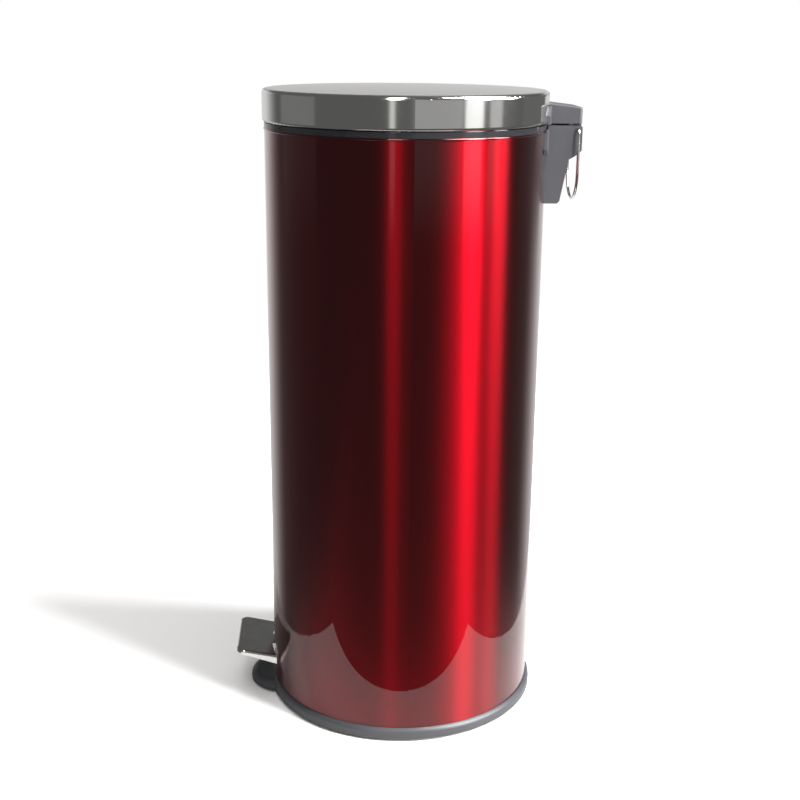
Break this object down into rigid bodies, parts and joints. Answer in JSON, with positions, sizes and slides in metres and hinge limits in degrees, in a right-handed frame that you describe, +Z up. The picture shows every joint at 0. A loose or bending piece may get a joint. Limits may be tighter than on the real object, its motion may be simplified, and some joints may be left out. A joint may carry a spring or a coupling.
{
  "type": "pedal waste bin",
  "caption": "Tall round pedal bin: lacquered steel shell, hinged polished steel lid, foot pedal, moulded base, lift-out bucket and a wire carrying ring at the hinge.",
  "frame": {"origin": "on the shell's own axis, on the floor, at the underside of the middle foot", "axes": "+Z up along the shell's axis; the pedal points along -Y and the lid's hinge is at +Y; X is parallel to the hinge pin"},
  "size_m": [0.3006, 0.3679, 0.6725],
  "materials": {
    "red_lacquer": "clear gloss over a translucent red lacquer on brushed steel",
    "polished_steel": "mirror polished, with a satin top",
    "black_moulding": "fine satin texture",
    "black_collar": "smooth, glossy",
    "zinc_steel": "bright zinc plate",
    "bright_wire": "bright drawn wire",
    "rubber": "soft, matt",
    "white_nylon": "natural nylon"
  },
  "bodies": {
    "bin_body": {"body_shell": "red_lacquer", "base": "black_moulding", "rubber_feet": "rubber", "base_screws": "zinc_steel", "rim_collar": "black_collar", "rim_buffers": "rubber", "hinge_bracket": "black_moulding", "backing_plate": "zinc_steel", "bracket_screws": "zinc_steel", "rod_guides": "white_nylon", "hinge_pin": "zinc_steel", "pedal_pivot_pin": "zinc_steel", "pivot_clips": "zinc_steel"},
    "lid": {"lid_shell": "polished_steel", "lid_liner": "black_moulding", "hinge_block": "black_moulding", "lid_screws": "zinc_steel"},
    "lifting_rod": {"lift_rod": "zinc_steel", "rod_foot": "white_nylon", "rod_clip": "zinc_steel"},
    "pedal": {"pedal_lever": "zinc_steel", "pedal_tread": "polished_steel"},
    "ring": {"carry_ring": "bright_wire"},
    "pail": {"bucket": "black_moulding"},
    "bail": {"bucket_bail": "bright_wire"}
  },
  "joints": [
    {"name": "lid_hinge", "type": "hinge", "parent": "bin_body", "child": "lid", "pos_m": [0, 0.177, 0.6313], "axis": [-1, 0, 0], "range_deg": [0, 80]},
    {"name": "rod_slide", "type": "slide", "parent": "bin_body", "child": "lifting_rod", "axis": [0, 0, 1], "range_m": [0, 0.0225]},
    {"name": "pedal_pivot", "type": "hinge", "parent": "bin_body", "child": "pedal", "pos_m": [0, -0.022, 0.03], "axis": [1, 0, 0], "range_deg": [0, 7.94]},
    {"name": "ring_swing", "type": "hinge", "parent": "bin_body", "child": "ring", "pos_m": [0, 0.177, 0.6313], "axis": [1, 0, 0], "range_deg": [-10, 100]},
    {"name": "bucket_lift", "type": "slide", "parent": "bin_body", "child": "pail", "axis": [0, 0, 1], "range_m": [0, 0.01]},
    {"name": "bail_swing", "type": "hinge", "parent": "pail", "child": "bail", "pos_m": [0, 0, 0.64165], "axis": [-1, 0, 0], "range_deg": [0, 5]}
  ],
  "couplings": [
    {"joint": "rod_slide", "follows": "lid_hinge", "m_per_rad": 0.015971},
    {"joint": "pedal_pivot", "follows": "lid_hinge", "ratio": 0.098573}
  ]
}
